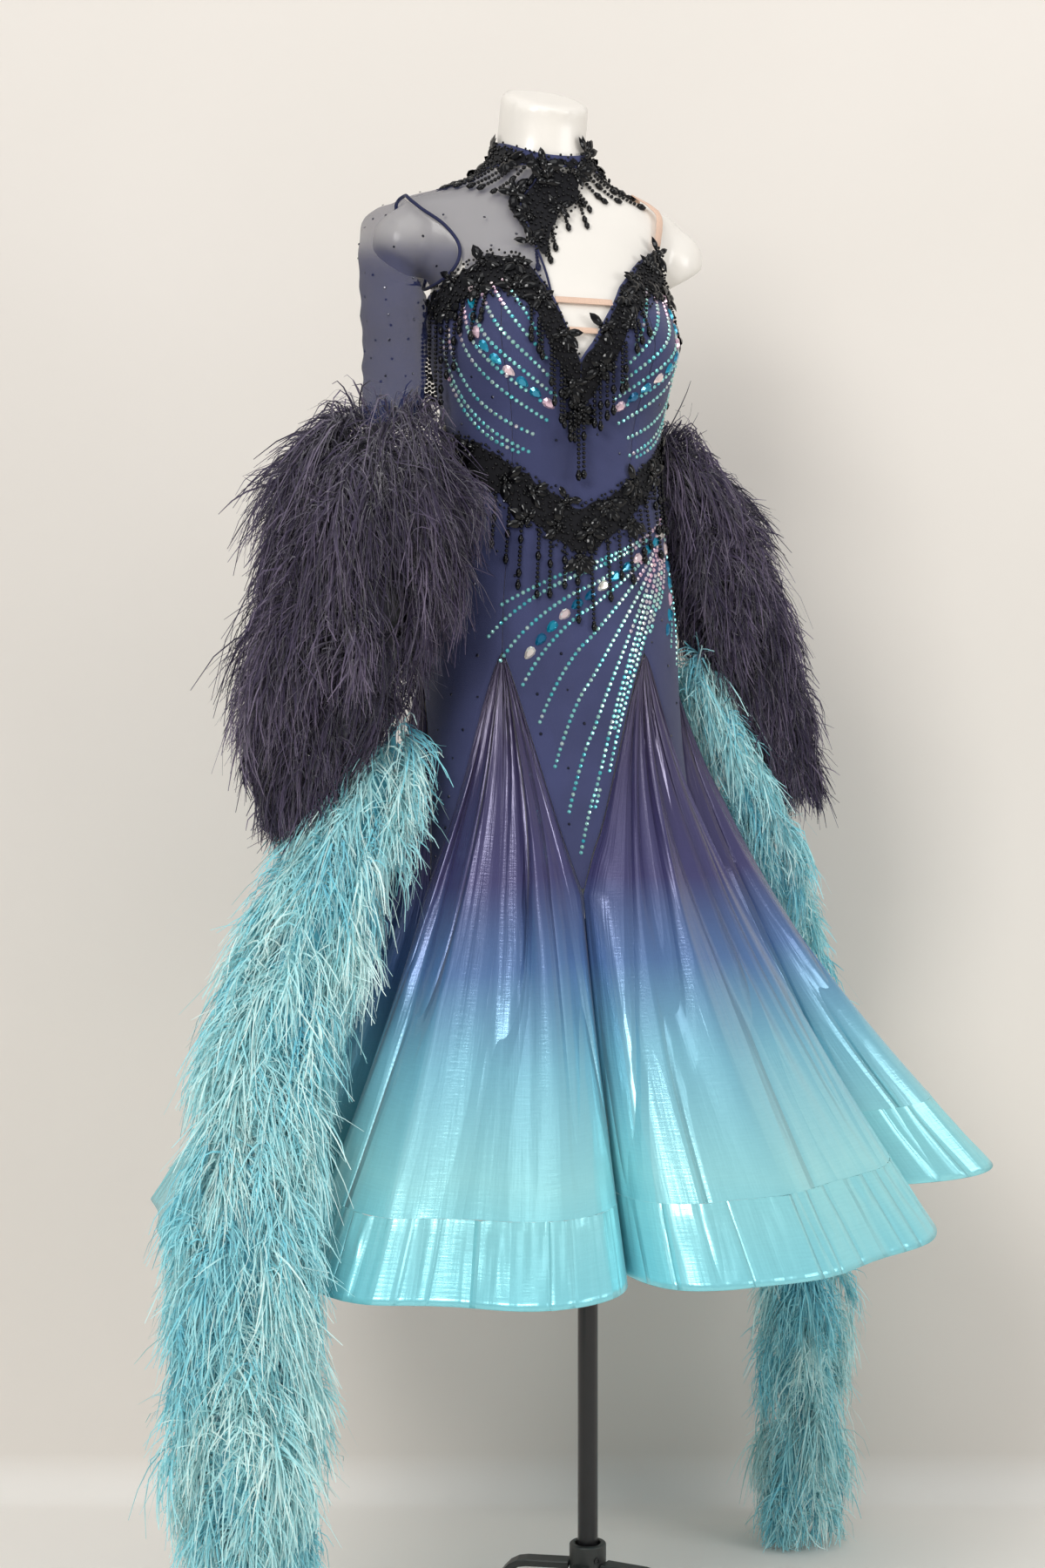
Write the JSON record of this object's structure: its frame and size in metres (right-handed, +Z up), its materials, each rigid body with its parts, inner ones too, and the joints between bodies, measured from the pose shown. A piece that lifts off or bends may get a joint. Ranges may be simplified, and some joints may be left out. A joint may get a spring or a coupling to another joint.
{
  "type": "ballroom gown with feather floats on a limbless dress form and floor stand",
  "caption": "Beaded ballroom gown with one sheer sleeve, satin godet skirt and feather floats, on a limbless dress form with a pole stand.",
  "frame": {"origin": "on the floor under the axis of the stand pole", "axes": "+Z up, the gown's front faces -Y, the wearer's left is +X"},
  "size_m": [1.068, 0.8666, 1.8529],
  "materials": {
    "navy_jersey": "matte stretch jersey",
    "navy_net": "sheer stretch net",
    "ombre_satin": "glossy satin, shaded from dark aubergine navy to turquoise",
    "turquoise_satin": "glossy satin over a stiff hem braid",
    "skin_tone_elastic": "matte elastic",
    "jet_beads": "black glass beads sewn on net",
    "aubergine_plume": "ostrich plume",
    "turquoise_plume": "ostrich plume",
    "white_gloss": "glossy moulded shell",
    "grey_painted_steel": "satin paint",
    "black_painted_steel": "satin paint"
  },
  "bodies": {
    "stand": {"stand_collar": "grey_painted_steel", "stand_leg_1": "grey_painted_steel", "stand_leg_2": "grey_painted_steel", "stand_leg_3": "grey_painted_steel", "stand_leg_4": "grey_painted_steel"},
    "form": {"beading_back": "jet_beads", "beading_collar": "jet_beads", "beading_left_cup": "jet_beads", "beading_right_cup": "jet_beads", "beading_throat": "jet_beads", "beading_waist": "jet_beads", "choker_band": "navy_jersey", "dress_form": "white_gloss", "feather_boa_left": "turquoise_plume", "feather_boa_right": "turquoise_plume", "feather_cuff_left": "aubergine_plume", "feather_cuff_right_1": "aubergine_plume", "feather_cuff_right_2": "aubergine_plume", "feather_cuff_right_3": "aubergine_plume", "feather_cuff_right_4": "aubergine_plume", "fringe_back": "jet_beads", "fringe_neckline": "jet_beads", "fringe_right_cup": "jet_beads", "fringe_waist": "jet_beads", "godet_left_back": "ombre_satin", "godet_left_front": "ombre_satin", "godet_left_side": "ombre_satin", "godet_right_back": "ombre_satin", "godet_right_front": "ombre_satin", "godet_right_side": "ombre_satin", "hem_band_left_back": "turquoise_satin", "hem_band_left_front": "turquoise_satin", "hem_band_left_side": "turquoise_satin", "hem_band_right_back": "turquoise_satin", "hem_band_right_front": "turquoise_satin", "hem_band_right_side": "turquoise_satin", "neckline_bar_1": "skin_tone_elastic", "neckline_bar_2": "skin_tone_elastic", "panel_back": "navy_jersey", "panel_front": "navy_jersey", "panel_left_back": "navy_jersey", "panel_left_side": "navy_jersey", "panel_right_back": "navy_jersey", "panel_right_side": "navy_jersey", "sleeve": "navy_net", "stand_pole": "black_painted_steel", "strap": "skin_tone_elastic", "yoke_back": "navy_net", "yoke_front": "navy_net"},
    "set_screw": {"set_screw": "black_painted_steel"}
  },
  "joints": [
    {"name": "form_turn", "type": "hinge", "parent": "stand", "child": "form", "pos_m": [0, 0, 0.1], "axis": [0, 0, 1], "continuous": true},
    {"name": "set_screw_turn", "type": "hinge", "parent": "stand", "child": "set_screw", "pos_m": [0.00262, -0.02134, 0.124], "axis": [0.1219, -0.9925, 0], "continuous": true}
  ]
}
